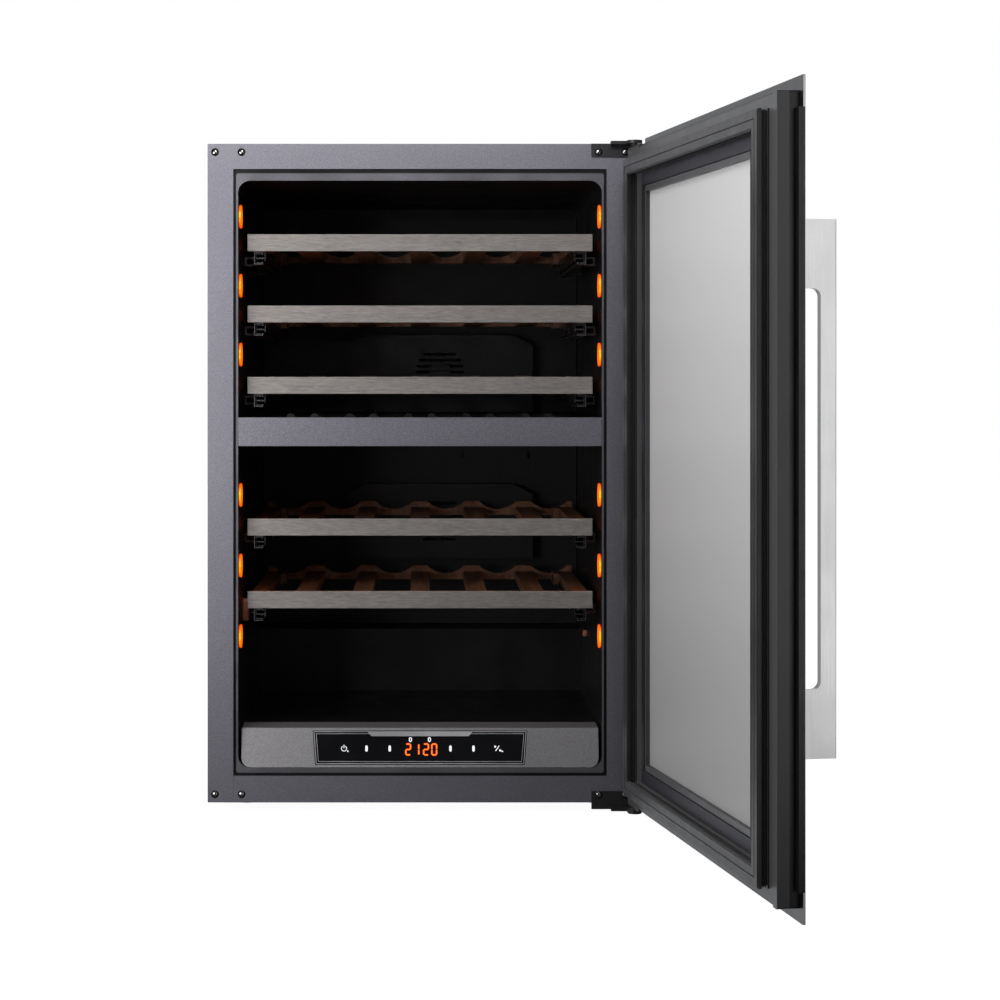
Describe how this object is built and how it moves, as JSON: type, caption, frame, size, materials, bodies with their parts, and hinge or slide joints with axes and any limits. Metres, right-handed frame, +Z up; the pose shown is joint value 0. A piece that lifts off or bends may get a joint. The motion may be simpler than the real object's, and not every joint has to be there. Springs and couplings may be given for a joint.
{
  "type": "wine cooler",
  "caption": "Built-in dual-zone wine cooler with a side-hung glass door, sliding wooden bottle racks, lit interior and touch control strip.",
  "frame": {"origin": "on the floor, in the middle of the cabinet's footprint (feet bottoms at z = 0)", "axes": "+Z up, the door and controls face -Y, +X to the right of someone facing the cooler; the door stands open on the right"},
  "size_m": [0.716, 1.1284, 0.8866],
  "materials": {
    "grey_paint": "satin",
    "zinc_steel": "satin",
    "brushed_steel": "satin",
    "fascia_steel": "satin",
    "hinge_steel": "satin",
    "screw_steel": "satin",
    "liner_black": "satin",
    "duct_black": "matte",
    "foam": "matte",
    "rail_black": "satin",
    "evaporator_metal": "satin",
    "fan_plastic": "satin",
    "amber_lens": "gloss",
    "board_green": "satin",
    "housing_grey": "satin",
    "display_black": "gloss",
    "sensor_pink": "satin",
    "compressor_black": "satin",
    "rubber_black": "matte",
    "condenser_metal": "satin",
    "tray_plastic": "satin",
    "copper": "satin",
    "inlet_black": "satin",
    "module_white": "satin",
    "foot_black": "satin",
    "door_black": "satin",
    "trim_black": "satin",
    "smoked_glass": "gloss",
    "spacer_metal": "satin",
    "bezel_grey": "satin",
    "gasket_black": "matte",
    "handle_steel": "satin",
    "shelf_wood": "satin",
    "bush_black": "satin"
  },
  "bodies": {
    "cabinet": {"cabinet_wrap": "grey_paint", "base_pan": "grey_paint", "compressor_plate": "zinc_steel", "rear_panel": "zinc_steel", "machine_room_cover": "zinc_steel", "insulation_foam": "foam", "inner_liner": "liner_black", "zone_divider": "liner_black", "divider_trim": "grey_paint", "upper_duct_cover": "duct_black", "lower_duct_cover": "duct_black", "evaporators": "evaporator_metal", "fan_frames": "fan_plastic", "shelf_rails": "rail_black", "lamp_lenses": "amber_lens", "circuit_boards": "board_green", "control_housing": "housing_grey", "display_window": "display_black", "sensor_covers": "sensor_pink", "compressor": "compressor_black", "compressor_grommets": "rubber_black", "condenser": "condenser_metal", "drip_tray": "tray_plastic", "refrigerant_lines": "copper", "power_inlet": "inlet_black", "power_module": "module_white", "top_hinge": "hinge_steel", "bottom_hinge": "hinge_steel", "flange_screws": "screw_steel", "levelling_feet": "foot_black"},
    "door": {"door_panel": "brushed_steel", "edge_trims": "trim_black", "outer_pane": "smoked_glass", "inner_pane": "smoked_glass", "glass_spacer": "spacer_metal", "door_frame": "door_black", "window_bezel": "bezel_grey", "door_gasket": "gasket_black", "door_handle": "handle_steel", "handle_screws": "screw_steel", "hinge_bushes": "bush_black"},
    "shelf_1": {"shelf_1_rack": "shelf_wood", "shelf_1_fascia": "fascia_steel", "shelf_1_slides": "zinc_steel"},
    "shelf_2": {"shelf_2_rack": "shelf_wood", "shelf_2_fascia": "fascia_steel", "shelf_2_slides": "zinc_steel"},
    "shelf_3": {"shelf_3_rack": "shelf_wood", "shelf_3_fascia": "fascia_steel", "shelf_3_slides": "zinc_steel"},
    "shelf_4": {"shelf_4_rack": "shelf_wood", "shelf_4_fascia": "fascia_steel", "shelf_4_slides": "zinc_steel"},
    "shelf_5": {"shelf_5_rack": "shelf_wood", "shelf_5_fascia": "fascia_steel", "shelf_5_slides": "zinc_steel"},
    "upper_fan": {"upper_fan_rotor": "fan_plastic"},
    "lower_fan": {"lower_fan_rotor": "fan_plastic"},
    "condenser_fan": {"condenser_fan_rotor": "fan_plastic"}
  },
  "joints": [
    {"name": "door_hinge", "type": "hinge", "parent": "cabinet", "child": "door", "pos_m": [0.2793, -0.2903, 0.016], "axis": [0, 0, 1], "range_deg": [-100, 10]},
    {"name": "shelf_1_slide", "type": "slide", "parent": "cabinet", "child": "shelf_1", "axis": [0, -1, 0], "range_m": [0, 0.25]},
    {"name": "shelf_2_slide", "type": "slide", "parent": "cabinet", "child": "shelf_2", "axis": [0, -1, 0], "range_m": [0, 0.25]},
    {"name": "shelf_3_slide", "type": "slide", "parent": "cabinet", "child": "shelf_3", "axis": [0, -1, 0], "range_m": [0, 0.25]},
    {"name": "shelf_4_slide", "type": "slide", "parent": "cabinet", "child": "shelf_4", "axis": [0, -1, 0], "range_m": [0, 0.25]},
    {"name": "shelf_5_slide", "type": "slide", "parent": "cabinet", "child": "shelf_5", "axis": [0, -1, 0], "range_m": [0, 0.25]},
    {"name": "upper_fan_spin", "type": "hinge", "parent": "cabinet", "child": "upper_fan", "pos_m": [0.03, 0.172, 0.5827], "axis": [0, 1, 0], "continuous": true},
    {"name": "lower_fan_spin", "type": "hinge", "parent": "cabinet", "child": "lower_fan", "pos_m": [0.03, 0.172, 0.3579], "axis": [0, 1, 0], "continuous": true},
    {"name": "condenser_fan_spin", "type": "hinge", "parent": "cabinet", "child": "condenser_fan", "pos_m": [-0.129, 0.208, 0.075], "axis": [1, 0, 0], "continuous": true}
  ]
}
